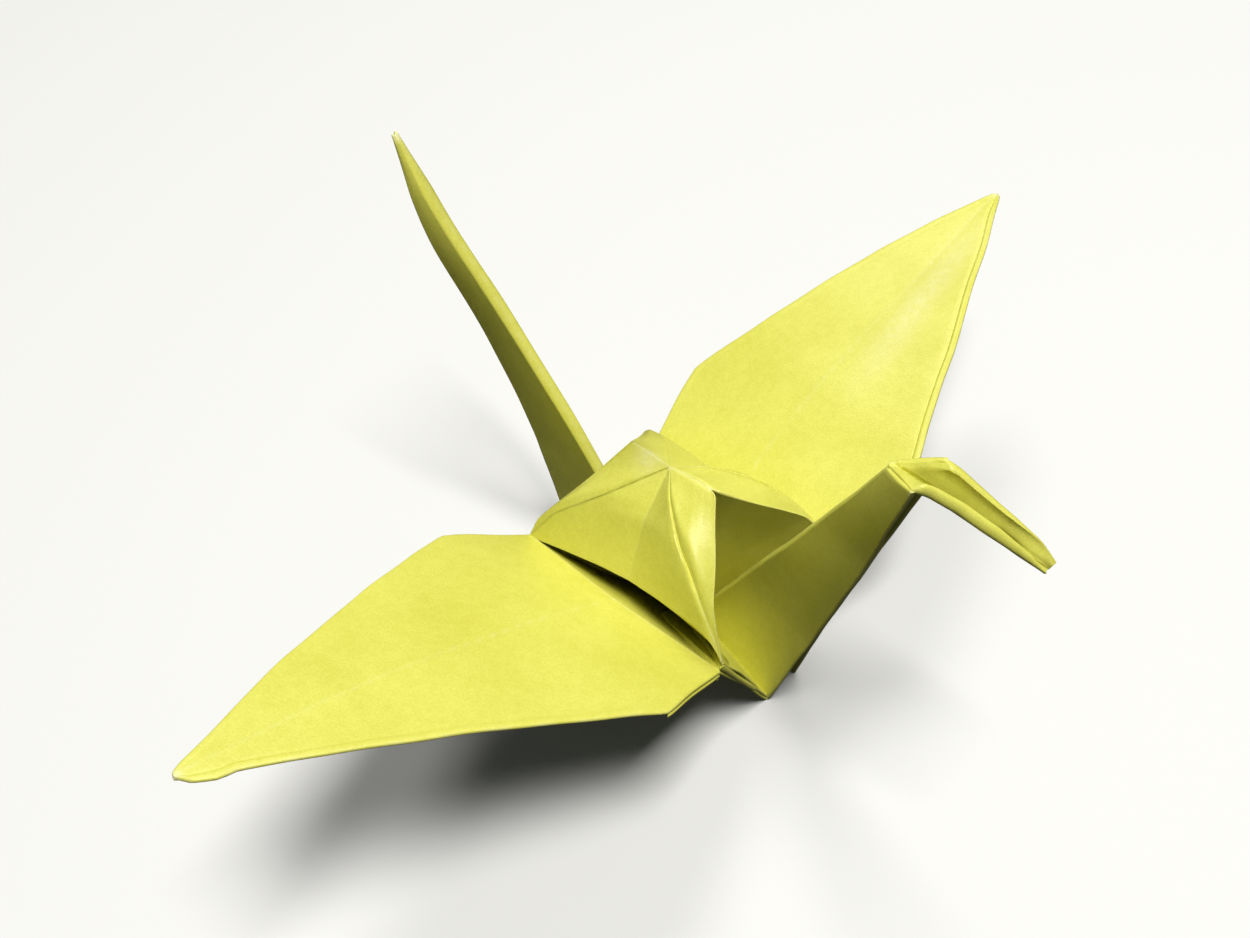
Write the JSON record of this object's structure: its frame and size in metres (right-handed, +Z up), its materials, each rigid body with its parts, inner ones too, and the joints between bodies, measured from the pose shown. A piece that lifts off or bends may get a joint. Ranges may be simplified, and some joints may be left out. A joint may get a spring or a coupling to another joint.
{
  "type": "origami crane",
  "caption": "Folded paper crane with spread wings, a pocketed hump, a slim tail and a hooked head, standing on its keel.",
  "frame": {"origin": "on the table, under the middle of the crane's outer box", "axes": "+X from the tail to the head, +Y from the near wing to the far wing, +Z up"},
  "size_m": [0.0452, 0.068, 0.0307],
  "materials": {
    "paper": "matte yellow-green paper, white on its reverse"
  },
  "bodies": {
    "root": {"folded_sheet": "paper"}
  },
  "joints": []
}
